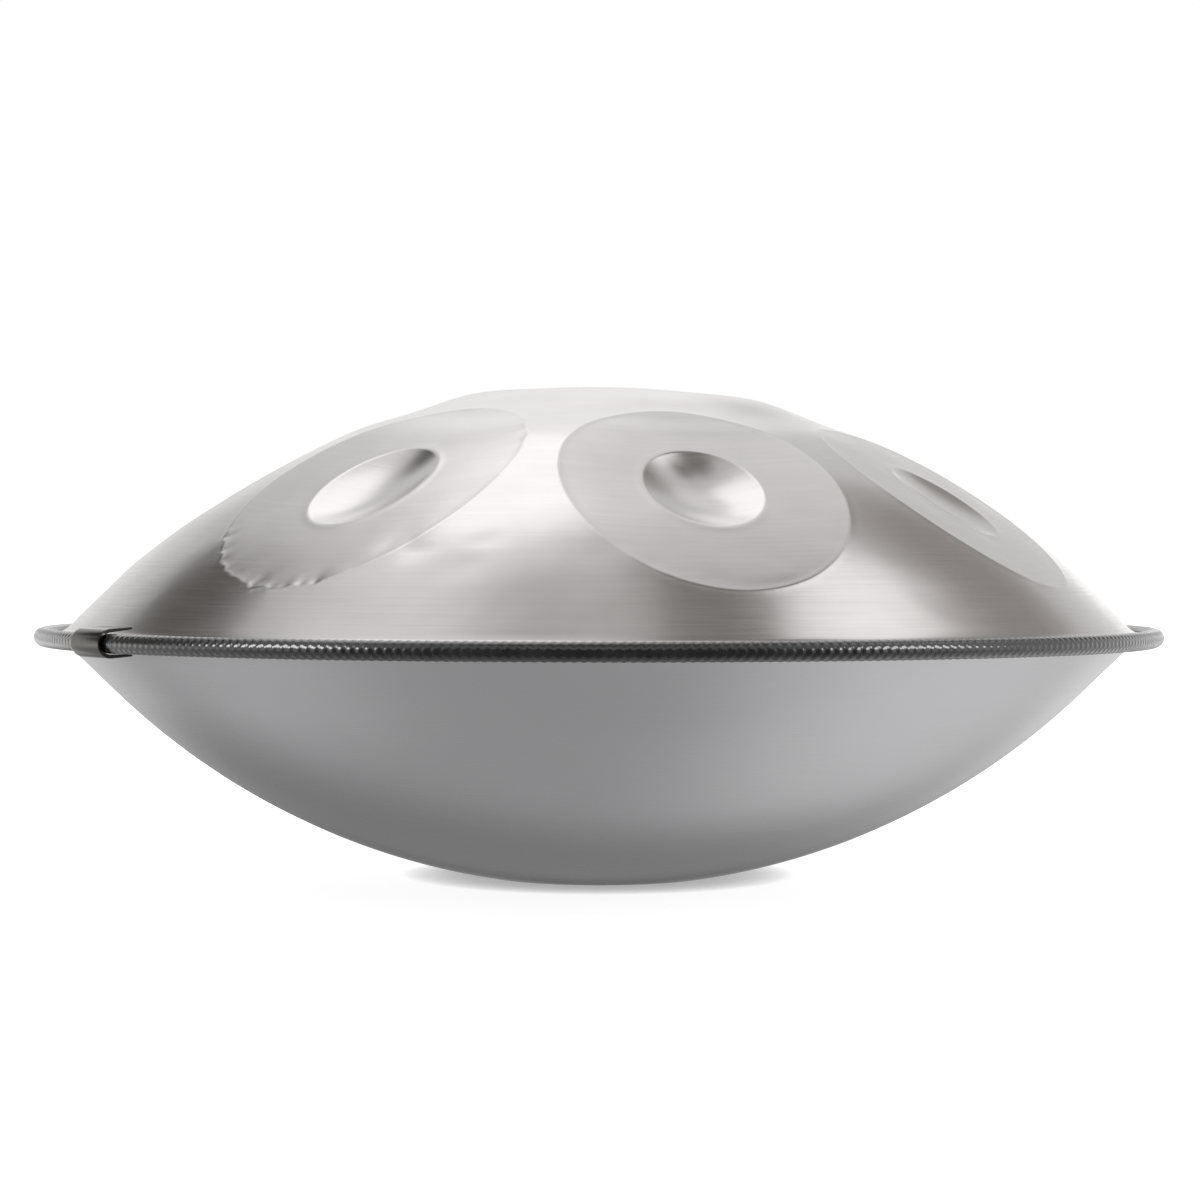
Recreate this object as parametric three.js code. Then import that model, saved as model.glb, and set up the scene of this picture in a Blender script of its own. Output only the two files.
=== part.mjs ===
// A handpan: two drawn steel shells bonded at their flanges, a braided cord round the rim and a
// sleeve over the cord's joint. Millimetres, +Z up. The origin is on the axis, in the plane that
// the instrument rests on, and the player's side is -Y. Azimuths turn from -Y towards +X.
// Sections are drawn as (radius, height), with heights counted from the mid-plane of the rim.
import * as THREE from "three";

const radians = THREE.MathUtils.degToRad;

// Driving dimensions
const rimRadius = 275; // outside of the cord
const rimHeight = 118; // mid-plane of the rim above the rest plane
const domeRadius = 337; // sphere that both shells are drawn to
const domeHeight = 122.9; // crown of that sphere above the mid-plane
const wallAngle = radians(44.5); // where the sphere runs on as a straight wall
const sheet = 1.2; // steel thickness
const gap = 0.2; // clearance between pieces that touch
const flangeBend = 11; // radius of the bend from wall to flange
const segments = 60; // round the axis
const domeRings = 16; // from the crown down to the wall
const bottomRings = 7; // the same on the bottom shell, which is plain

// Edge cord, slit on the inside to take the flanges
const cordRadius = 4.4;
const braidThickness = 1;
const cordCentre = rimRadius - cordRadius;
const gripDepth = 1.4; // the flanges reach this far past the cord's centre line

// Flanges, with the layer of adhesive between them
const glueThickness = 0.5;
const flangeRadius = cordCentre + gripDepth;
const flangeInner = glueThickness / 2 + gap;
const flangeOuter = flangeInner + sheet;

// Sound port in the bottom shell
const portRadius = 48;
const portBend = 4; // outside radius of the bend from the rest ring into the neck
const neckHeight = 26;

// Sleeve over the cord's joint
const clipAzimuth = -55.5;
const clipSpan = 6; // degrees
const clipInner = 5;
const clipOuter = 6.6;
const clipLip = { radius: 260, thickness: 1.2, top: 7.3, bottom: -5.9 }; // outside heights

// Tone fields. Each is an ellipse on the dome, flattened, with a dimple in its middle.
const fieldFoot = radians(44.9); // angle from the axis that every field reaches down to
const fieldWidth = 0.81; // half width over half length
const fieldFlatness = 0.65; // 1 would be a flat face
const fieldCrease = 0.5; // softness of a field's edge
const dimpleShare = 0.42; // dimple size over field size
const dimpleCrease = 0.8;
const toneFields = [
  { azimuth: -37, halfLength: 83, dimpleDepth: 5.5 },
  { azimuth: -90, halfLength: 81, dimpleDepth: 5.5 },
  { azimuth: 15.4, halfLength: 79, dimpleDepth: 5.5 },
  { azimuth: -137, halfLength: 74, dimpleDepth: 4.5 },
  { azimuth: 62.5, halfLength: 69, dimpleDepth: 3.2 },
  { azimuth: 180, halfLength: 65, dimpleDepth: 3.2 },
  { azimuth: 103, halfLength: 62, dimpleDepth: 3 },
  { azimuth: 141, halfLength: 58, dimpleDepth: 3 },
];

// Ding, the centre note: a flattened face inside a raised shoulder, with a moat round it
const dingShift = 8; // it sits a little towards +X
const dingWaves = [
  { radius: 0, width: 52, height: -1.2 },
  { radius: 71, width: 17, height: 1.5 },
  { radius: 106, width: 18.5, height: -1.2 },
];
const dingDimple = { radius: 27, depth: 6 };

const sphereCentre = domeHeight - domeRadius;

function arc(centreRadius, centreHeight, radius, from, to, steps) {
  const points = [];
  for (let i = 0; i <= steps; i++) {
    const angle = from + ((to - from) * i) / steps;
    points.push(
      new THREE.Vector2(
        centreRadius + radius * Math.cos(angle),
        centreHeight + radius * Math.sin(angle),
      ),
    );
  }
  return points;
}

// One face of a shell from the given angle off the axis out to the flange's edge. A depth of 0 is
// the outside of the sheet and a depth of `sheet` its inside.
function shellFace(depth, fromAngle, rings) {
  const sphere = arc(
    0,
    sphereCentre,
    domeRadius - depth,
    Math.PI / 2 - fromAngle,
    Math.PI / 2 - wallAngle,
    rings,
  );
  const bendHeight = flangeOuter + flangeBend;
  const bendRadius =
    (domeRadius + flangeBend - (bendHeight - sphereCentre) * Math.cos(wallAngle)) /
    Math.sin(wallAngle);
  const bend = arc(
    bendRadius,
    bendHeight,
    flangeBend + depth,
    -Math.PI / 2 - wallAngle,
    -Math.PI / 2,
    2,
  );
  const edge = new THREE.Vector2(flangeRadius, flangeOuter - depth);
  return { points: [...sphere, ...bend, edge], bendRadius };
}

// Turns a closed section round the axis and lifts it to the rim's height.
function turned(points) {
  const geometry = new THREE.LatheGeometry(points, segments);
  geometry.rotateX(Math.PI / 2);
  geometry.translate(0, 0, rimHeight);
  return geometry;
}

// Depth of a bowl at a point where `share` is 1 in the middle and 0 on its edge, with a soft crease.
function bowl(share, depth, crease) {
  const sunk = depth * share;
  if (sunk >= crease) return sunk;
  if (sunk <= -crease) return 0;
  return (sunk + crease) ** 2 / (4 * crease);
}

// A tone field's own axes: out of the dome, up the dome, and sideways.
function fieldFrame({ azimuth, halfLength, dimpleDepth }) {
  const turn = radians(azimuth);
  const tilt = fieldFoot - Math.asin(halfLength / domeRadius);
  const out = new THREE.Vector3(
    Math.sin(tilt) * Math.sin(turn),
    -Math.sin(tilt) * Math.cos(turn),
    Math.cos(tilt),
  );
  const side = new THREE.Vector3(Math.cos(turn), Math.sin(turn), 0);
  const up = new THREE.Vector3().crossVectors(out, side);
  const halfWidth = halfLength * fieldWidth;
  const depth = (fieldFlatness * (halfLength ** 2 + halfWidth ** 2)) / (4 * domeRadius);
  return { out, side, up, halfLength, halfWidth, depth, dimpleDepth };
}
const fieldFrames = toneFields.map(fieldFrame);

// How far a tone field sinks the dome at a point given from the sphere's centre.
function fieldDepth(frame, point) {
  if (point.dot(frame.out) < 0) return 0;
  const square =
    (point.dot(frame.up) / frame.halfLength) ** 2 +
    (point.dot(frame.side) / frame.halfWidth) ** 2;
  const flat = bowl(1 - square, frame.depth, fieldCrease);
  const dimple = bowl(1 - square / dimpleShare ** 2, frame.dimpleDepth, dimpleCrease);
  return flat + dimple;
}

function dingDepth(point) {
  const radius = Math.hypot(point.x - dingShift, point.y);
  let depth = bowl(1 - (radius / dingDimple.radius) ** 2, dingDimple.depth, dimpleCrease);
  for (const wave of dingWaves) {
    depth -= wave.height * Math.exp(-(((radius - wave.radius) / wave.width) ** 2));
  }
  return depth;
}

// Hammers the ding and the tone fields into a turned shell.
function hammered(geometry) {
  const centre = new THREE.Vector3(0, 0, rimHeight + sphereCentre);
  const position = geometry.getAttribute("position");
  const vertex = new THREE.Vector3();
  const onSphere = new THREE.Vector3();
  for (let i = 0; i < position.count; i++) {
    vertex.fromBufferAttribute(position, i).sub(centre);
    onSphere.copy(vertex).setLength(domeRadius);
    let depth = dingDepth(onSphere);
    for (const frame of fieldFrames) depth += fieldDepth(frame, onSphere);
    vertex.setLength(vertex.length() - depth).add(centre);
    position.setXYZ(i, vertex.x, vertex.y, vertex.z);
  }
  return geometry;
}

function topShell() {
  const inside = shellFace(sheet, 0, domeRings).points;
  const outside = shellFace(0, 0, domeRings).points;
  return hammered(turned([...inside, ...outside.reverse()]));
}

// The neck of the sound port, from its free end to the flat rest ring, on one face of the sheet.
function neckFace(depth) {
  const bendRadius = portRadius + portBend;
  const bendHeight = rimHeight - portBend;
  const bend = arc(bendRadius, bendHeight, portBend - depth, Math.PI, Math.PI / 2, 2);
  return [new THREE.Vector2(portRadius + depth, rimHeight - neckHeight), ...bend];
}

function bottomShell() {
  const faces = [0, sheet].map((depth) => {
    const restAngle = Math.acos((rimHeight - depth - sphereCentre) / (domeRadius - depth));
    return [...neckFace(depth), ...shellFace(depth, restAngle, bottomRings).points];
  });
  const section = [...faces[0], ...faces[1].reverse(), faces[0][0]];
  return turned(section.map((point) => new THREE.Vector2(point.x, -point.y)));
}

function adhesive() {
  const inner = shellFace(0, 0, 1).bendRadius;
  const outer = flangeRadius - gap;
  const top = glueThickness / 2;
  return turned([
    new THREE.Vector2(inner, top),
    new THREE.Vector2(inner, -top),
    new THREE.Vector2(outer, -top),
    new THREE.Vector2(outer, top),
    new THREE.Vector2(inner, top),
  ]);
}

// Angle round the cord's section at which a circle of this radius meets the slit.
function slitAngle(radius) {
  return Math.PI - Math.asin((flangeOuter + gap) / radius);
}

function cordCore() {
  const radius = cordRadius - braidThickness - gap;
  const slit = flangeOuter + gap;
  const bottom = flangeRadius + gap;
  const round = arc(cordCentre, 0, radius, -slitAngle(radius), slitAngle(radius), 8);
  return turned([
    ...round,
    new THREE.Vector2(bottom, slit),
    new THREE.Vector2(bottom, -slit),
    round[0],
  ]);
}

function cordBraid() {
  const inner = cordRadius - braidThickness;
  const outside = arc(cordCentre, 0, cordRadius, -slitAngle(cordRadius), slitAngle(cordRadius), 10);
  const inside = arc(cordCentre, 0, inner, slitAngle(inner), -slitAngle(inner), 10);
  return turned([...outside, ...inside, outside[0]]);
}

// The sleeve's section is extruded straight, with its length standing for degrees, then bent round.
function cordClip() {
  const shape = new THREE.Shape([
    new THREE.Vector2(clipLip.radius, clipLip.bottom),
    ...arc(cordCentre, 0, clipOuter, -Math.PI / 2, Math.PI / 2, 10),
    new THREE.Vector2(clipLip.radius, clipLip.top),
    new THREE.Vector2(clipLip.radius, clipLip.top - clipLip.thickness),
    ...arc(cordCentre, 0, clipInner, Math.PI / 2, -Math.PI / 2, 8),
    new THREE.Vector2(clipLip.radius, clipLip.bottom + clipLip.thickness),
  ]);
  const geometry = new THREE.ExtrudeGeometry(shape, {
    depth: clipSpan,
    steps: 4,
    bevelEnabled: false,
  });
  const position = geometry.getAttribute("position");
  for (let i = 0; i < position.count; i++) {
    const radius = position.getX(i);
    const turn = radians(clipAzimuth + clipSpan / 2 - position.getZ(i));
    position.setXYZ(
      i,
      radius * Math.sin(turn),
      -radius * Math.cos(turn),
      rimHeight + position.getY(i),
    );
  }
  return geometry;
}

const steel = new THREE.MeshStandardMaterial({ color: 0xb9b6b1, roughness: 0.35, metalness: 1 });
const glue = new THREE.MeshStandardMaterial({ color: 0x8f8a7c, roughness: 0.6, metalness: 0 });
const rubber = new THREE.MeshStandardMaterial({ color: 0x1b1b1b, roughness: 0.8, metalness: 0 });
const braid = new THREE.MeshStandardMaterial({ color: 0x141414, roughness: 0.35, metalness: 0 });
const gunmetal = new THREE.MeshStandardMaterial({ color: 0x3a3a3c, roughness: 0.2, metalness: 1 });

function piece(name, geometry, material) {
  const mesh = new THREE.Mesh(geometry, material);
  mesh.name = name;
  return mesh;
}

const handpan = new THREE.Group();
handpan.add(
  piece("top_shell", topShell(), steel),
  piece("bottom_shell", bottomShell(), steel),
  piece("rim_adhesive", adhesive(), glue),
  piece("cord_core", cordCore(), rubber),
  piece("cord_braid", cordBraid(), braid),
  piece("cord_clip", cordClip(), gunmetal),
);

export default handpan;
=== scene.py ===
"""The looks of a handpan: two hammered, brushed steel shells, a braided cord round the rim and a
clip over the cord's joint. Metres, +Z up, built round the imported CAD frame.
Azimuths on the object turn from -Y, the player's side, towards +X. Those of the lights turn as
direction() says. Section points are (radius, height), with heights counted from the rim's
mid-plane."""
import math

import bmesh
import bpy
import numpy as np
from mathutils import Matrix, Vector, noise


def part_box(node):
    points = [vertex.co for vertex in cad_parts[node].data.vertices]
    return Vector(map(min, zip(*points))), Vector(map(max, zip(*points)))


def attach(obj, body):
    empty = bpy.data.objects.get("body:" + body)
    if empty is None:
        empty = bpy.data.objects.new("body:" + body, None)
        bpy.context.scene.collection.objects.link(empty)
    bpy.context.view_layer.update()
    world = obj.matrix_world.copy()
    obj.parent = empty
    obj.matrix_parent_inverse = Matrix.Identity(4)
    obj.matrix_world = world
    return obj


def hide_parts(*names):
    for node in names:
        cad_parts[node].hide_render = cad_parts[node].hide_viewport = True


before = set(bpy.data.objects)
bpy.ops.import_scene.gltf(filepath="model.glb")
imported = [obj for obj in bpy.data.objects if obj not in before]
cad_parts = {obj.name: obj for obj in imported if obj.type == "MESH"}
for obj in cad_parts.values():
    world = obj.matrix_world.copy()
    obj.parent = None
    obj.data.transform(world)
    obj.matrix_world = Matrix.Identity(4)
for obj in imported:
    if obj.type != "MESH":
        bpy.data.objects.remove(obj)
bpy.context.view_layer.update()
MM = 0.001

# ---------------------------------------------------------------- sizes taken from the frame
braid_low, braid_high = (np.array(corner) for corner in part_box("cord_braid"))
shell_low, shell_high = (np.array(corner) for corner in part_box("top_shell"))
base_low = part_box("bottom_shell")[0]

RIM_RADIUS = (braid_high[0] - braid_low[0]) / 2
RIM_HEIGHT = (braid_high[2] + braid_low[2]) / 2
REST_HEIGHT = RIM_HEIGHT - base_low[2]
CORD_RADIUS = (braid_high[2] - braid_low[2]) / 2
CORD_CENTRE = RIM_RADIUS - CORD_RADIUS
FLANGE_RADIUS = (shell_high[0] - shell_low[0]) / 2
FLANGE_INNER = shell_low[2] - RIM_HEIGHT

# ---------------------------------------------------------------- the shells' own sizes
SHEET = 1.2 * MM
FLANGE_OUTER = FLANGE_INNER + SHEET
DOME_RADIUS = 337 * MM
DOME_HEIGHT = 122.9 * MM
SPHERE_CENTRE = DOME_HEIGHT - DOME_RADIUS
WALL_ANGLE = math.radians(44.5)
FLANGE_BEND = 11 * MM
PORT_RADIUS = 48 * MM
PORT_BEND = 4 * MM
NECK_HEIGHT = 26 * MM
SHELL_SEGMENTS = 320
REFINEMENT = (7 * MM, 1.7 * MM)  # each halves the grid this close to a crease

# Tone fields: azimuth in degrees, half length and depth of the dimple
FIELD_FOOT = math.radians(44.9)
FIELD_WIDTH = 0.81
FIELD_FLATNESS = 0.65  # 1 would be a flat face
FIELD_CREASE = 0.08 * MM
FIELD_RIM = 0.09 * MM  # height of the ridge pushed up round a field
FIELD_RIM_WIDTH = 1.4 * MM
DIMPLE_SHARE = 0.42
DIMPLE_CREASE = 0.18 * MM
DIMPLE_RIM = 0.1 * MM  # height of the ridge pushed up round a dimple
DIMPLE_RIM_WIDTH = 1.3 * MM
TONE_FIELDS = {
    "first": (-37, 83 * MM, 5.5 * MM),
    "second": (-90, 81 * MM, 5.5 * MM),
    "third": (15.4, 79 * MM, 5.5 * MM),
    "fourth": (-137, 74 * MM, 4.5 * MM),
    "fifth": (62.5, 69 * MM, 3.2 * MM),
    "sixth": (180, 65 * MM, 3.2 * MM),
    "seventh": (103, 62 * MM, 3.0 * MM),
    "eighth": (141, 58 * MM, 3.0 * MM),
}

# Ding: waves of (radius, width, height) on the dome, and its dimple
DING_SHIFT = 8 * MM
DING_WAVES = (
    (0, 52 * MM, -1.2 * MM),
    (71 * MM, 17 * MM, 1.5 * MM),
    (106 * MM, 18.5 * MM, -1.2 * MM),
)
DING_DIMPLE_RADIUS = 27 * MM
DING_DIMPLE_DEPTH = 6 * MM


# ---------------------------------------------------------------- camera
CAMERA_LENS = 91.0
CAMERA_DISTANCE = 1.5
CAMERA_RISE = 0.0392  # above the rim's mid-plane
CAMERA_TURN = (90 - 0.842, -0.082, -0.017)


def make_camera():
    data = bpy.data.cameras.new("camera")
    data.lens = CAMERA_LENS
    data.sensor_width = 36.0
    data.clip_end = 50.0
    camera = bpy.data.objects.new("camera", data)
    bpy.context.collection.objects.link(camera)
    camera.location = (0.0, -CAMERA_DISTANCE, RIM_HEIGHT + CAMERA_RISE)
    camera.rotation_euler = [math.radians(angle) for angle in CAMERA_TURN]
    bpy.context.scene.camera = camera


# ---------------------------------------------------------------- node helpers
def set_inputs(node, inputs):
    """Sets a node's inputs to a number, a colour, a vector or another node's output socket."""
    for key, value in inputs.items():
        socket = node.inputs[key]
        if isinstance(value, bpy.types.NodeSocket):
            node.id_data.links.new(value, socket)
        else:
            socket.default_value = value


def add_node(tree, kind, inputs=None, **settings):
    node = tree.nodes.new(kind)
    for name, value in settings.items():
        setattr(node, name, value)
    set_inputs(node, inputs or {})
    return node


def calculate(tree, operation, *values):
    inputs = dict(enumerate(values))
    return add_node(tree, "ShaderNodeMath", inputs, operation=operation).outputs[0]


def vector_math(tree, operation, *values, output=0):
    inputs = dict(enumerate(values))
    return add_node(tree, "ShaderNodeVectorMath", inputs, operation=operation).outputs[output]


def map_range(tree, value, low, high, to_low, to_high, smooth=False):
    kind = "SMOOTHSTEP" if smooth else "LINEAR"
    inputs = {"Value": value, "From Min": low, "From Max": high, "To Min": to_low, "To Max": to_high}
    return add_node(tree, "ShaderNodeMapRange", inputs, interpolation_type=kind).outputs[0]


def mix_colour(tree, factor, first, second):
    """Mixes two colours. Each is (red, green, blue) or another node's output socket."""
    node = add_node(tree, "ShaderNodeMix", {"Factor": factor}, data_type="RGBA")
    for key, value in ((6, first), (7, second)):
        linked = isinstance(value, bpy.types.NodeSocket)
        set_inputs(node, {key: value if linked else (*value, 1.0)})
    return node.outputs[2]


def bump(tree, height, strength, distance):
    inputs = {"Strength": strength, "Distance": distance, "Height": height}
    return add_node(tree, "ShaderNodeBump", inputs).outputs["Normal"]


def new_material(name):
    material = bpy.data.materials.new(name)
    material.use_nodes = True
    tree = material.node_tree
    return material, tree, tree.nodes["Principled BSDF"]


# ---------------------------------------------------------------- light
def direction(azimuth, elevation):
    """A unit vector. Azimuth 0 is straight behind the object as the camera sees it, 90 its right."""
    turn, rise = math.radians(azimuth), math.radians(elevation)
    return (math.sin(turn) * math.cos(rise), math.cos(turn) * math.cos(rise), math.sin(rise))


# Soft boxes and dark gaps of the studio: (azimuth, elevation, inner and outer half angle, grey).
# Each covers the ones before it, and fades from its inner to its outer angle.
STUDIO = (
    (0, 90, 68, 86, 0.72),
    (0, -90, 62, 82, 0.41),
    (180, -8, 40, 64, 0.13),
    (-72, -14, 6, 18, 1.70),
    (-32, -14, 6, 15, 1.10),
    (30, -10, 4, 16, 1.05),
    (62, -38, 10, 44, 0.82),
    (-70, -36, 8, 34, 0.62),
    (-8, -33, 8, 28, 0.25),
    (0, -8, 8, 17, 0.02),
    (-90, 72, 6, 16, 0.45),
    (-50, 68, 5, 18, 1.00),
    (-17, 61, 8, 18, 1.52),
    (-10, 48, 5, 13, 1.50),
    (-1, 34, 6, 13, 1.15),
    (-4, 20, 5, 16, 1.10),
    (0, 4, 8, 22, 0.95),
    (13, 4, 4, 12, 1.30),
    (-46, 34, 9, 16, 0.10),
    (-74, 24, 12, 24, 0.15),
    (16, 53, 5, 11, 0.90),
    (42, 38, 5, 17, 0.30),
    (68, 76, 4, 11, 0.18),
    (72, 56, 8, 15, 1.30),
    (50, 66, 2, 6, 0.15),
    (180, 72, 6, 22, 0.30),
    (180, 45, 6, 20, 0.80),
)
DARK = 0.35  # gaps darker than this are a little warm
WARM = (1.05, 0.99, 0.93)


def make_world():
    world = bpy.data.worlds.new("studio")
    world.use_nodes = True
    bpy.context.scene.world = world
    tree = world.node_tree
    tree.nodes.clear()
    look = add_node(tree, "ShaderNodeTexCoord").outputs["Generated"]
    colour = add_node(tree, "ShaderNodeRGB").outputs[0]
    colour.default_value = (1.0, 1.0, 1.0, 1.0)
    for azimuth, elevation, inner, outer, grey in STUDIO:
        facing = vector_math(tree, "DOT_PRODUCT", look, direction(azimuth, elevation), output=1)
        edge = (math.cos(math.radians(outer)), math.cos(math.radians(inner)))
        mask = map_range(tree, facing, *edge, 0.0, 1.0, smooth=True)
        tint = WARM if grey < DARK and elevation > 0 else (1, 1, 1)
        colour = mix_colour(tree, mask, colour, tuple(grey * part for part in tint))
    studio = add_node(tree, "ShaderNodeBackground", {"Color": colour, "Strength": 1.0})
    white = add_node(tree, "ShaderNodeBackground", {"Color": (1, 1, 1, 1), "Strength": 1.0})
    seen = add_node(tree, "ShaderNodeLightPath").outputs["Is Camera Ray"]
    inputs = {0: seen, 1: studio.outputs[0], 2: white.outputs[0]}
    shader = add_node(tree, "ShaderNodeMixShader", inputs)
    add_node(tree, "ShaderNodeOutputWorld", {"Surface": shader.outputs[0]})


def make_lamp(name, location, size, watts, glossy):
    """A round soft lamp that faces the object. One that isn't glossy shows in no reflection."""
    data = bpy.data.lights.new(name, "AREA")
    data.shape = "DISK"
    data.size = size
    data.energy = watts
    lamp = bpy.data.objects.new(name, data)
    bpy.context.collection.objects.link(lamp)
    lamp.location = location
    lamp.rotation_euler = (Vector(location) * -1).to_track_quat("-Z", "Y").to_euler()
    lamp.visible_glossy = glossy
    lamp.visible_camera = False
    return lamp


# ---------------------------------------------------------------- floor
FLOOR_GREY = 0.9
FLOOR_HALF = 6.0
FLOOR_GLOW = 0.76
# Painted contact shadow: near the bowl, an ambient occlusion node dims the floor's glow. No lamp casts
# it.
CONTACT_SHADOW_GLOW = 0.3  # share of the glow left where the bowl touches the floor
CONTACT_SHADOW_REACH = 9 * MM


def make_floor():
    """A pale floor that glows, with a painted contact shadow where the bowl comes close. Reflections
    pass it by and see the studio's lower half.
    """
    material, tree, shader = new_material("floor")
    # Painted contact shadow: the glow is dimmed where ambient occlusion finds the bowl close by.
    inputs = {"Distance": CONTACT_SHADOW_REACH}
    painted_shadow_opening = add_node(tree, "ShaderNodeAmbientOcclusion", inputs).outputs["AO"]
    glow = map_range(tree, painted_shadow_opening, 0.0, 1.0, CONTACT_SHADOW_GLOW * FLOOR_GLOW, FLOOR_GLOW)
    set_inputs(shader, {
        "Base Color": (FLOOR_GREY, FLOOR_GREY, FLOOR_GREY, 1),
        "Roughness": 0.9,
        "Emission Color": (1, 1, 1, 1),
        "Emission Strength": glow,
    })
    mesh = bpy.data.meshes.new("floor")
    corners = [(x * FLOOR_HALF, y * FLOOR_HALF, 0) for x, y in ((-1, -1), (1, -1), (1, 1), (-1, 1))]
    mesh.from_pydata(corners, [], [(0, 1, 2, 3)])
    mesh.materials.append(material)
    floor = bpy.data.objects.new("floor", mesh)
    bpy.context.collection.objects.link(floor)
    floor.visible_glossy = False
    floor.visible_shadow = False


make_camera()
make_world()
make_lamp("top_light", (0.0, 0.3, 2.6), size=2.6, watts=90, glossy=False)
make_floor()


# ---------------------------------------------------------------- mesh helpers
def grid_mesh(name, rings, closed=False):
    """A mesh from rings of points. A ring that has shrunk to one point becomes a pole, and a
    closed mesh joins its last ring to its first."""
    starts, points = [], []
    total = 0
    for ring in rings:
        pole = np.ptp(ring, axis=0).max() < 1e-9
        points.append(ring[:1] if pole else ring)
        starts.append((total, pole))
        total += len(points[-1])
    count = len(max(rings, key=len))
    step = np.arange(count)
    after = (step + 1) % count
    faces = []
    pairs = list(zip(starts, starts[1:]))
    if closed:
        pairs.append((starts[-1], starts[0]))
    for (low, low_pole), (high, high_pole) in pairs:
        if low_pole:
            faces.append(np.stack([step * 0 + low, after + high, step + high], 1))
        elif high_pole:
            faces.append(np.stack([step + low, after + low, step * 0 + high], 1))
        else:
            faces.append(np.stack([step + low, after + low, after + high, step + high], 1))
    mesh = bpy.data.meshes.new(name)
    polygons = [face for block in faces for face in block.tolist()]
    mesh.from_pydata(np.concatenate(points).tolist(), [], polygons)
    mesh.shade_smooth()
    return mesh


def new_piece(name, mesh, material, slot, *replaced):
    piece = bpy.data.objects.new(name, mesh)
    bpy.context.collection.objects.link(piece)
    mesh.materials.append(material)
    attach(piece, "root")
    if replaced:
        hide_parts(*replaced)
    return piece


def arc(centre_radius, centre_height, radius, start, end, steps):
    angle = np.linspace(start, end, steps + 1)
    return np.stack([centre_radius + radius * np.cos(angle), centre_height + radius * np.sin(angle)], 1)


def on_circle(radius, turn, height):
    """Points round the axis at angles from -Y. Radius and height are numbers or arrays."""
    columns = np.broadcast_arrays(radius * np.sin(turn), -radius * np.cos(turn), RIM_HEIGHT + height)
    return np.stack(columns, 1)


def revolve(section, flip=1):
    """Rings of points round the axis, one for each point of the section."""
    turn = np.linspace(0, 2 * math.pi, SHELL_SEGMENTS, endpoint=False)
    return [on_circle(radius, turn, flip * height) for radius, height in section]


# ---------------------------------------------------------------- shell shape
def shell_face(depth, from_angle, rings, wall_steps, bend_steps):
    """One face of a shell, from an angle off the axis to the flange's edge. Depth counts from the
    outside of the sheet."""
    half = math.pi / 2
    start, end = half - from_angle, half - WALL_ANGLE
    sphere = arc(0, SPHERE_CENTRE, DOME_RADIUS - depth, start, end, rings)
    bend_height = FLANGE_OUTER + FLANGE_BEND
    along = DOME_RADIUS + FLANGE_BEND - (bend_height - SPHERE_CENTRE) * math.cos(WALL_ANGLE)
    bend_radius = along / math.sin(WALL_ANGLE)
    bend = arc(bend_radius, bend_height, FLANGE_BEND + depth, -half - WALL_ANGLE, -half, bend_steps)
    wall = np.linspace(sphere[-1], bend[0], wall_steps + 1)[1:-1]
    edge = np.array([[FLANGE_RADIUS, FLANGE_OUTER - depth]])
    return np.concatenate([sphere, wall, bend, edge])


def bowl(share, depth, crease):
    """Depth of a bowl where share is 1 in its middle and 0 on its edge, with a soft crease."""
    sunk = depth * share
    soft = (sunk + crease) ** 2 / (4 * crease)
    return np.where(sunk >= crease, sunk, np.where(sunk <= -crease, 0.0, soft))


TEETH = np.random.default_rng(5).uniform(-1, 1, 110)  # round a whole outline
RAGGED = ((200, 305, 0.05), (25, 70, 0.03))  # from and to angle on the outline, and strength
RAGGED_FADE = 15
TEETH_POWER = 6  # the teeth fade towards the field's middle with this power


def raggedness(angle):
    """How far the teeth left by hammering push a field's outline in, as a share."""
    turn = np.degrees(angle) % 360
    teeth = np.interp(turn, np.linspace(0, 360, len(TEETH)), TEETH)
    total = 0
    for start, end, strength in RAGGED:
        rise = np.clip((turn - start) / RAGGED_FADE, 0, 1)
        inside = rise * np.clip((end - turn) / RAGGED_FADE, 0, 1)
        total = total + strength * inside * teeth
    return total


def off_axis(turn, tilt):
    """The unit vector that leans from the axis by an angle, towards a turn from -Y."""
    lean = math.sin(tilt)
    return np.array([lean * math.sin(turn), -lean * math.cos(turn), math.cos(tilt)])


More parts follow.
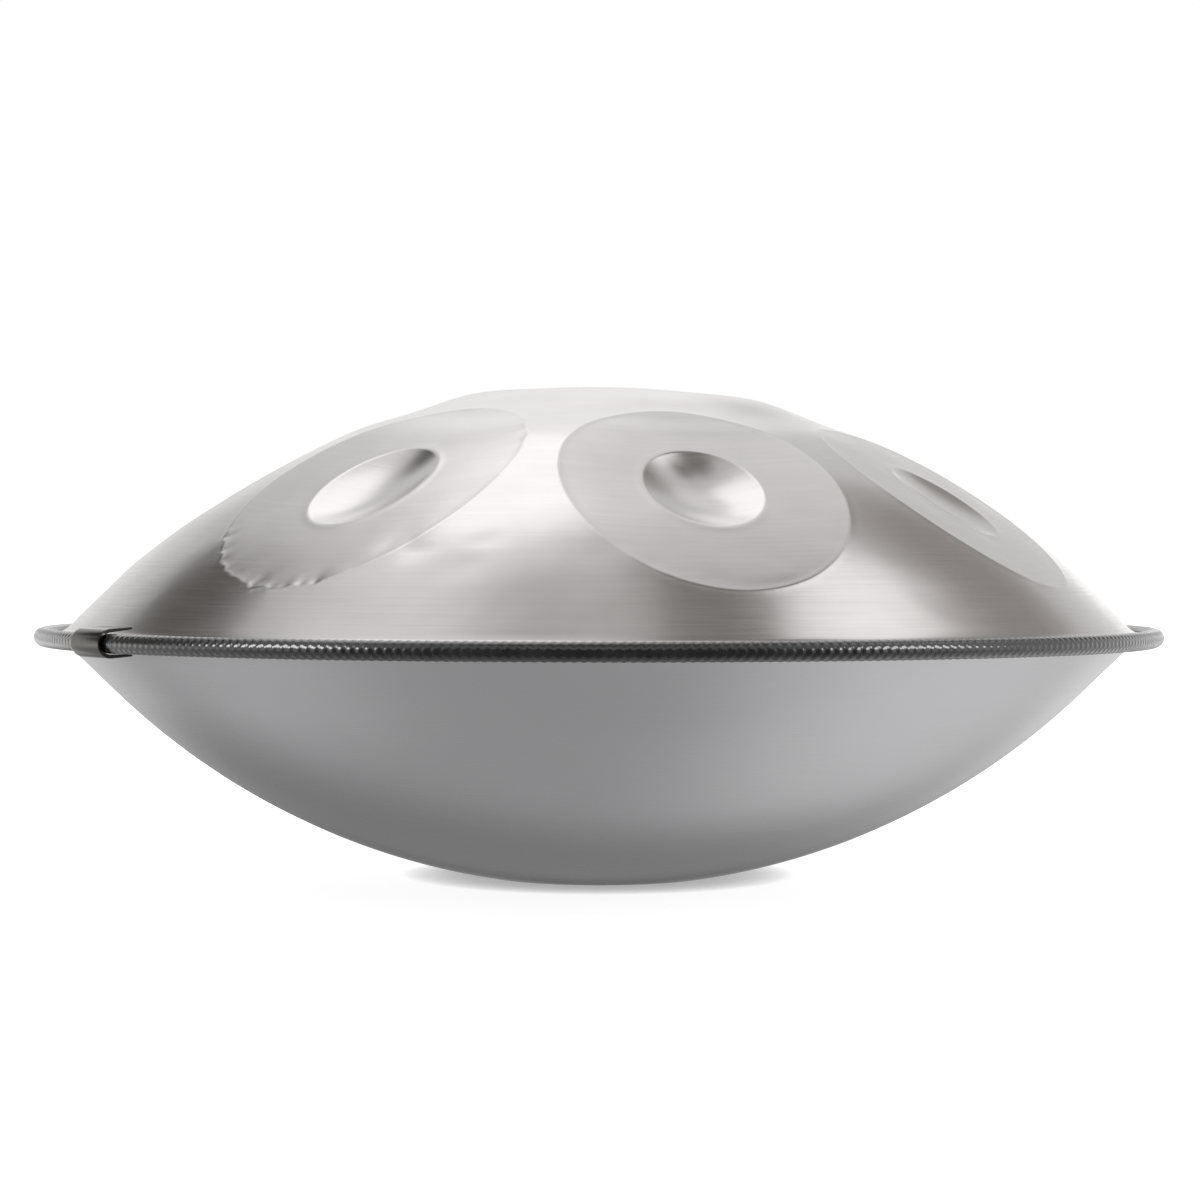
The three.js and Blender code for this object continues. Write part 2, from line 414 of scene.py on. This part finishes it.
class ToneField:
    def __init__(self, azimuth, half_length, dimple_depth, ragged=False):
        turn = math.radians(azimuth)
        tilt = FIELD_FOOT - math.asin(half_length / DOME_RADIUS)
        self.out = off_axis(turn, tilt)
        self.side = np.array([math.cos(turn), math.sin(turn), 0.0])
        self.up = np.cross(self.out, self.side)
        self.half_length = half_length
        self.dimple_depth = dimple_depth
        self.ragged = ragged
        self.half_width = half_length * FIELD_WIDTH
        self.depth = FIELD_FLATNESS * (half_length**2 + self.half_width**2) / (4 * DOME_RADIUS)

    def square(self, points):
        """0 in the field's middle and 1 on its edge, growing with the square of the distance."""
        along = points @ self.up / self.half_length
        across = points @ self.side / self.half_width
        return np.where(points @ self.out > 0, along**2 + across**2, 9.0)

    def sunk(self, points):
        """Depth of the flattened face and its dimple, less the ridges round them."""
        square = self.square(points)
        outline = square
        if self.ragged:
            along = points @ self.up / self.half_length
            across = points @ self.side / self.half_width
            angle = np.arctan2(along, across)
            outline = square * (1 + raggedness(angle) * np.minimum(square, 1) ** TEETH_POWER)
        flat = bowl(1 - outline, self.depth, FIELD_CREASE)
        from_edge = (np.sqrt(outline) - 1) * self.half_width / FIELD_RIM_WIDTH
        flat = flat - FIELD_RIM * np.exp(-(from_edge**2))
        dimple = bowl(1 - square / DIMPLE_SHARE**2, self.dimple_depth, DIMPLE_CREASE)
        from_rim = (np.sqrt(square) - DIMPLE_SHARE) * self.half_width / DIMPLE_RIM_WIDTH - 1
        return flat + dimple - DIMPLE_RIM * np.exp(-(from_rim**2))

    def edge_point(self, angle, scale):
        """A point of the field's outline on the sphere. Angle 0 is sideways and 90 is up the dome."""
        along = self.half_length * scale * math.sin(math.radians(angle))
        across = self.half_width * scale * math.cos(math.radians(angle))
        rest = math.sqrt(DOME_RADIUS**2 - along**2 - across**2)
        return self.out * rest + self.up * along + self.side * across


FIELDS = {name: ToneField(*sizes, ragged=name == "first") for name, sizes in TONE_FIELDS.items()}


def ding_sunk(points):
    radius = np.hypot(points[:, 0] - DING_SHIFT, points[:, 1])
    depth = bowl(1 - (radius / DING_DIMPLE_RADIUS) ** 2, DING_DIMPLE_DEPTH, DIMPLE_CREASE)
    for wave_radius, width, height in DING_WAVES:
        depth = depth - height * np.exp(-(((radius - wave_radius) / width) ** 2))
    return depth


BLOW_STEP = 12  # degrees between the marks along a field's edge
BLOW_SIZES = (4 * MM, 8 * MM)  # the least and the most, here and below
BLOW_DEPTHS = (-0.05 * MM, 0.08 * MM)
BLOW_SCALES = (0.88, 1.08)  # distance from the field's middle, where its edge is 1
WALL_DENTS = 12
WALL_DENT_TURNS = (-25, -12)  # azimuth
WALL_DENT_TILTS = (36, 43)  # degrees off the axis
WALL_DENT_DEPTHS = (0.12 * MM, 0.28 * MM)


def hammer_blows():
    """Single hammer marks as (point on the sphere, radius, depth)."""
    rng = np.random.default_rng(7)
    blows = []
    # Light marks that follow every field's edge.
    for field in FIELDS.values():
        for angle in np.arange(0, 360, BLOW_STEP):
            off_step = rng.uniform(-BLOW_STEP / 2, BLOW_STEP / 2)
            point = field.edge_point(angle + off_step, rng.uniform(*BLOW_SCALES))
            blows.append((point, rng.uniform(*BLOW_SIZES), rng.uniform(*BLOW_DEPTHS)))
    # A patch of faint dents on the wall, right of the first field.
    for _ in range(WALL_DENTS):
        turn = math.radians(rng.uniform(*WALL_DENT_TURNS))
        tilt = math.radians(rng.uniform(*WALL_DENT_TILTS))
        point = off_axis(turn, tilt) * DOME_RADIUS
        blows.append((point, rng.uniform(*BLOW_SIZES), rng.uniform(*WALL_DENT_DEPTHS)))
    return blows


BLOWS = hammer_blows()
WAVES = ((55 * MM, 0.14 * MM), (20 * MM, 0.07 * MM), (11 * MM, 0.02 * MM))  # length and height


def waviness(points):
    """The slow unevenness of hand-worked sheet."""
    total = 0
    for length, height in WAVES:
        total = total + height * np.array([noise.noise(Vector(point) / length) for point in points])
    return total


SPHERE = np.array((0, 0, RIM_HEIGHT + SPHERE_CENTRE))
FLANGE_FADE = 20 * MM  # the marks fade out towards the flange's edge


def hammered(points):
    """Presses the ding, the tone fields and the hammer marks into points of a shell."""
    arm = points - SPHERE
    distance = np.linalg.norm(arm, axis=1, keepdims=True)
    on_sphere = arm / distance * DOME_RADIUS
    depth = ding_sunk(on_sphere) + waviness(on_sphere)
    for field in FIELDS.values():
        depth = depth + field.sunk(on_sphere)
    for point, radius, blow_depth in BLOWS:
        apart = np.sum((on_sphere - point) ** 2, axis=1) / radius**2
        depth = depth + blow_depth * np.exp(-apart)
    from_edge = (FLANGE_RADIUS - np.hypot(points[:, 0], points[:, 1])) / FLANGE_FADE
    depth = depth * np.clip(from_edge, 0, 1)
    return SPHERE + arm * (1 - depth[:, None] / distance)


def crease_distance(points):
    """Distance from the nearest edge of a tone field or dimple."""
    arm = points - SPHERE
    on_sphere = arm / np.linalg.norm(arm, axis=1, keepdims=True) * DOME_RADIUS
    ding_radius = np.hypot(on_sphere[:, 0] - DING_SHIFT, on_sphere[:, 1])
    nearest = np.abs(ding_radius - DING_DIMPLE_RADIUS)
    for field in FIELDS.values():
        reach = np.sqrt(field.square(on_sphere))
        for edge in (1, DIMPLE_SHARE):
            nearest = np.minimum(nearest, np.abs(reach - edge) * field.half_width)
    return nearest


def vertex_places(mesh):
    places = np.empty(len(mesh.vertices) * 3)
    mesh.vertices.foreach_get("co", places)
    return places.reshape(-1, 3)


def refine(mesh):
    """Splits the faces near a crease on the shell's outside. Returns the places of all points,
    with the new ones put back on the sphere."""
    build = bmesh.new()
    build.from_mesh(mesh)
    for reach in REFINEMENT:
        faces = list(build.faces)
        middles = np.array([face.calc_center_median() for face in faces])
        outside = np.linalg.norm(middles - SPHERE, axis=1) > DOME_RADIUS - SHEET / 2
        close = outside & (crease_distance(middles) < reach)
        edges = {edge for face, chosen in zip(faces, close) if chosen for edge in face.edges}
        bmesh.ops.subdivide_edges(build, edges=list(edges), cuts=1, use_grid_fill=True)
    build.to_mesh(mesh)
    build.free()
    places = vertex_places(mesh)
    arm = places - SPHERE
    distance = np.linalg.norm(arm, axis=1)
    above_wall = arm[:, 2] > distance * math.cos(WALL_ANGLE)
    on_dome = (np.abs(distance - DOME_RADIUS) < 0.1 * MM) & above_wall
    places[on_dome] = SPHERE + arm[on_dome] * (DOME_RADIUS / distance[on_dome])[:, None]
    return places


def rounded_edge(steps):
    """The flange's cut edge, from its outside to its inside."""
    middle = (FLANGE_OUTER + FLANGE_INNER) / 2
    half = SHEET / 2
    return arc(FLANGE_RADIUS - half, middle, half, math.pi / 2, -math.pi / 2, steps)


def top_shell():
    outside = shell_face(0, 0, rings=76, wall_steps=10, bend_steps=6)[:-1]
    inside = shell_face(SHEET, 0, rings=24, wall_steps=3, bend_steps=3)[:-1]
    section = np.concatenate([inside, rounded_edge(3)[::-1], outside[::-1]])
    mesh = grid_mesh("top_shell_steel", revolve(section))
    places = hammered(refine(mesh))
    mesh.vertices.foreach_set("co", places.ravel())
    mesh.update()
    mesh.shade_smooth()
    return mesh


def neck_face(depth, steps):
    """One face of the sound port's neck and of the bend from it to the rest ring."""
    centre = (PORT_RADIUS + PORT_BEND, REST_HEIGHT - PORT_BEND)
    bend = arc(*centre, PORT_BEND - depth, math.pi, math.pi / 2, steps)
    foot = np.array([[PORT_RADIUS + depth, REST_HEIGHT - NECK_HEIGHT]])
    return np.concatenate([foot, bend])


def bottom_shell():
    faces = []
    for depth, rings, wall_steps, bend_steps in ((0, 60, 4, 8), (SHEET, 16, 2, 3)):
        rest_angle = math.acos((REST_HEIGHT - depth - SPHERE_CENTRE) / (DOME_RADIUS - depth))
        face = shell_face(depth, rest_angle, rings, wall_steps, bend_steps)[:-1]
        faces.append(np.concatenate([neck_face(depth, 6), face]))
    outside, inside = faces
    section = np.concatenate([outside, rounded_edge(4), inside[::-1]])
    return grid_mesh("bottom_shell_steel", revolve(section, flip=-1), closed=True)


# ---------------------------------------------------------------- steel
def brush_coordinates(tree, around, across):
    """A vector that changes slowly round the axis and fast from ring to ring."""
    place = add_node(tree, "ShaderNodeTexCoord").outputs["Object"]
    split = add_node(tree, "ShaderNodeSeparateXYZ", {0: place}).outputs
    flat = add_node(tree, "ShaderNodeCombineXYZ", {0: split[0], 1: split[1]}).outputs[0]
    radius = vector_math(tree, "LENGTH", flat, output=1)
    turn = vector_math(tree, "NORMALIZE", flat)
    rise = calculate(tree, "ABSOLUTE", calculate(tree, "SUBTRACT", split[2], RIM_HEIGHT))
    ring = calculate(tree, "SUBTRACT", radius, rise)
    turned = add_node(tree, "ShaderNodeSeparateXYZ", {0: turn}).outputs
    inputs = {
        0: calculate(tree, "MULTIPLY", turned[0], around),
        1: calculate(tree, "MULTIPLY", turned[1], around),
        2: calculate(tree, "MULTIPLY", ring, across),
    }
    return add_node(tree, "ShaderNodeCombineXYZ", inputs).outputs[0]


def streaks(tree, around, across, detail=2.0):
    inputs = {"Vector": brush_coordinates(tree, around, across), "Scale": 1.0, "Detail": detail}
    return add_node(tree, "ShaderNodeTexNoise", inputs).outputs["Fac"]


def blotches(tree, size, detail=3.0):
    place = add_node(tree, "ShaderNodeTexCoord").outputs["Object"]
    inputs = {"Vector": place, "Scale": 1 / size, "Detail": detail}
    return add_node(tree, "ShaderNodeTexNoise", inputs).outputs["Fac"]


STREAK_SHARE = 0.25  # of the changes in tone, the rest being patches


def brushed_steel(name, light, dark, roughness, spread, grain):
    """Sheet brushed round the axis: fine and coarse streaks, and slow changes of tone."""
    material, tree, shader = new_material(name)
    fine = streaks(tree, 5.0, 1 / (0.5 * MM))
    coarse = streaks(tree, 2.5, 1 / (1.8 * MM))
    patches = blotches(tree, 45 * MM, 4.0)
    streaky = calculate(tree, "MULTIPLY", coarse, STREAK_SHARE)
    patchy = calculate(tree, "MULTIPLY", patches, 1 - STREAK_SHARE)
    tone = calculate(tree, "ADD", streaky, patchy)
    share = map_range(tree, tone, 0.35, 0.65, 0.0, 1.0)
    set_inputs(shader, {
        "Base Color": mix_colour(tree, share, dark, light),
        "Roughness": map_range(tree, fine, 0.3, 0.7, roughness - spread, roughness + spread),
        "Normal": bump(tree, fine, grain, 0.03 * MM),
        "Tangent": add_node(tree, "ShaderNodeTangent", direction_type="RADIAL", axis="Z").outputs[0],
        "Metallic": 1.0,
        "Anisotropic": 0.45,
    })
    return material


top_steel = brushed_steel(
    "top_steel",
    light=(0.67, 0.646, 0.640),
    dark=(0.61, 0.588, 0.582),
    roughness=0.19,
    spread=0.03,
    grain=0.06,
)
bottom_steel = brushed_steel(
    "bottom_steel",
    light=(0.61, 0.602, 0.614),
    dark=(0.595, 0.588, 0.60),
    roughness=0.26,
    spread=0.015,
    grain=0.006,
)
new_piece("top_shell_steel", top_shell(), top_steel, "top_steel", "top_shell")
new_piece("bottom_shell_steel", bottom_shell(), bottom_steel, "bottom_steel", "bottom_shell")


# ---------------------------------------------------------------- braided cord
RIBS = 420  # pillows of one strand along the whole cord
STRANDS = 4  # each way round
STRAND_FLATNESS = 2.4  # higher is flatter across a strand
STRAND_ENDS = 0.35  # share of the relief left where a strand dives under another
RELIEF = 0.30 * MM
JACKET = 1.0 * MM
CORD_STEPS = 2520
OUTER_RINGS = 30
INNER_RINGS = 6


def braid_relief(along, around):
    """Height of the braid where along runs 0 to 1 round the rim and around 0 to 1 round the cord."""
    first = STRANDS * around + RIBS * along
    second = STRANDS * around - RIBS * along
    over = (np.floor(first) + np.floor(second)) % 2 == 0
    u = first - np.floor(first) - 0.5
    v = second - np.floor(second) - 0.5
    across = np.where(over, u, v)
    length = np.where(over, v, u)
    profile = 1 - np.abs(2 * across) ** STRAND_FLATNESS
    return RELIEF * profile * (STRAND_ENDS + (1 - STRAND_ENDS) * np.cos(math.pi * length))


def cord_braid():
    """The jacket's outside and inside, with a mouth that lets the flanges in."""
    slit = FLANGE_OUTER + 0.2 * MM
    outer_mouth = math.pi - math.asin(slit / CORD_RADIUS)
    inner_mouth = math.pi - math.asin(slit / (CORD_RADIUS - JACKET))
    turn = np.linspace(0, 2 * math.pi, CORD_STEPS, endpoint=False)
    rings = []
    for angle in np.linspace(-outer_mouth, outer_mouth, OUTER_RINGS):
        relief = braid_relief(turn / (2 * math.pi), angle / (2 * math.pi))
        rings.append((angle, CORD_RADIUS - RELIEF + relief))
    for angle in np.linspace(inner_mouth, -inner_mouth, INNER_RINGS):
        rings.append((angle, np.full(CORD_STEPS, CORD_RADIUS - JACKET)))
    points = []
    for angle, radius in rings:
        reach = CORD_CENTRE + radius * math.cos(angle)
        points.append(on_circle(reach, turn, radius * math.sin(angle)))
    return grid_mesh("rim_cord", points, closed=True)


def black_braid():
    material, tree, shader = new_material("black_braid")
    share = map_range(tree, blotches(tree, 12 * MM), 0.35, 0.7, 0.0, 1.0)
    set_inputs(shader, {
        "Base Color": mix_colour(tree, share, (0.003, 0.003, 0.003), (0.008, 0.008, 0.009)),
        "Roughness": map_range(tree, blotches(tree, 2 * MM), 0.3, 0.7, 0.20, 0.32),
        "Normal": bump(tree, blotches(tree, 0.6 * MM, 1.0), 0.3, 0.05 * MM),
        "Coat Weight": 0.9,
        "Coat Roughness": 0.12,
    })
    return material


cord = new_piece("rim_cord", cord_braid(), black_braid(), "braid", "cord_braid")


# Two lamps that light only the cord, for the sparkle on its strands: azimuth and watts
CORD_LAMPS = {"left_sparkle": (-116, 50), "right_sparkle": (116, 39)}
CORD_LAMP_RISE = 24
CORD_LAMP_DISTANCE = 4.0
CORD_LAMP_SIZE = 1.5

cord_only = bpy.data.collections.new("cord_only")
cord_only.objects.link(cord)
for name, (azimuth, watts) in CORD_LAMPS.items():
    place = CORD_LAMP_DISTANCE * Vector(direction(azimuth, CORD_LAMP_RISE))
    lamp = make_lamp(name, place, CORD_LAMP_SIZE, watts, glossy=True)
    lamp.light_linking.receiver_collection = cord_only


# ---------------------------------------------------------------- clip over the cord's joint
CLIP_AZIMUTH = -55.5
CLIP_SPAN = 6.0
CLIP_INNER = 5.0 * MM
CLIP_OUTER = 6.6 * MM
LIP_RADIUS = 260 * MM
LIP_THICKNESS = 1.2 * MM
LIP_TOP = 7.3 * MM
LIP_BOTTOM = -5.9 * MM
CLIP_STEPS = 28
CLIP_WEAR = 0.35 * MM


def clip_section():
    half = math.pi / 2
    thick = LIP_THICKNESS / 2
    outside = arc(CORD_CENTRE, 0, CLIP_OUTER, -half, half, 24)
    inside = arc(CORD_CENTRE, 0, CLIP_INNER, half, -half, 20)
    top_tip = arc(LIP_RADIUS + thick, LIP_TOP - thick, thick, half, 3 * half, 6)
    bottom_tip = arc(LIP_RADIUS + thick, LIP_BOTTOM + thick, thick, half, 3 * half, 6)
    return np.concatenate([outside, top_tip, inside, bottom_tip])


def cord_clip():
    """The sleeve's section swept along the rim, with its two ends closed."""
    section = clip_section()
    start = math.radians(CLIP_AZIMUTH - CLIP_SPAN / 2)
    end = math.radians(CLIP_AZIMUTH + CLIP_SPAN / 2)
    turns = np.linspace(start, end, CLIP_STEPS + 1)
    mesh = grid_mesh("rim_clip", [on_circle(section[:, 0], turn, section[:, 1]) for turn in turns])
    build = bmesh.new()
    build.from_mesh(mesh)
    build.verts.ensure_lookup_table()
    count = len(section)
    last = CLIP_STEPS * count
    build.faces.new([build.verts[i] for i in range(count)])
    build.faces.new([build.verts[last + i] for i in reversed(range(count))])
    bmesh.ops.recalc_face_normals(build, faces=build.faces)
    build.to_mesh(mesh)
    build.free()
    return mesh


def gunmetal():
    material, tree, shader = new_material("gunmetal")
    share = map_range(tree, blotches(tree, 6 * MM), 0.35, 0.7, 0.0, 1.0)
    set_inputs(shader, {
        "Base Color": mix_colour(tree, share, (0.085, 0.079, 0.071), (0.115, 0.107, 0.098)),
        "Roughness": map_range(tree, blotches(tree, 1.5 * MM, 4.0), 0.3, 0.7, 0.08, 0.16),
        "Metallic": 1.0,
    })
    return material


clip = new_piece("rim_clip", cord_clip(), gunmetal(), "gunmetal", "cord_clip")
bevel = clip.modifiers.new("worn_edges", "BEVEL")
bevel.width = CLIP_WEAR
bevel.segments = 2
bevel.limit_method = "ANGLE"
bevel.angle_limit = math.radians(50)


# ---------------------------------------------------------------- hidden pieces kept from the frame
def plain_finish(name, dark, light, size, roughness):
    material, tree, shader = new_material(name)
    grain = blotches(tree, size)
    share = map_range(tree, grain, 0.35, 0.65, 0.0, 1.0)
    set_inputs(shader, {
        "Base Color": mix_colour(tree, share, dark, light),
        "Roughness": map_range(tree, grain, 0.3, 0.7, roughness - 0.08, roughness + 0.08),
        "Normal": bump(tree, grain, 0.3, 0.1 * MM),
    })
    return material


def refinish(node, material):
    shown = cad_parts[node]
    shown.data.materials.clear()
    shown.data.materials.append(material)


adhesive = plain_finish("adhesive", (0.26, 0.25, 0.22), (0.36, 0.35, 0.31), 4 * MM, 0.6)
core_rubber = plain_finish("core_rubber", (0.018,) * 3, (0.04,) * 3, 1.5 * MM, 0.75)
refinish("rim_adhesive", adhesive)
refinish("cord_core", core_rubber)

scene = bpy.context.scene
scene.view_settings.view_transform = "Standard"
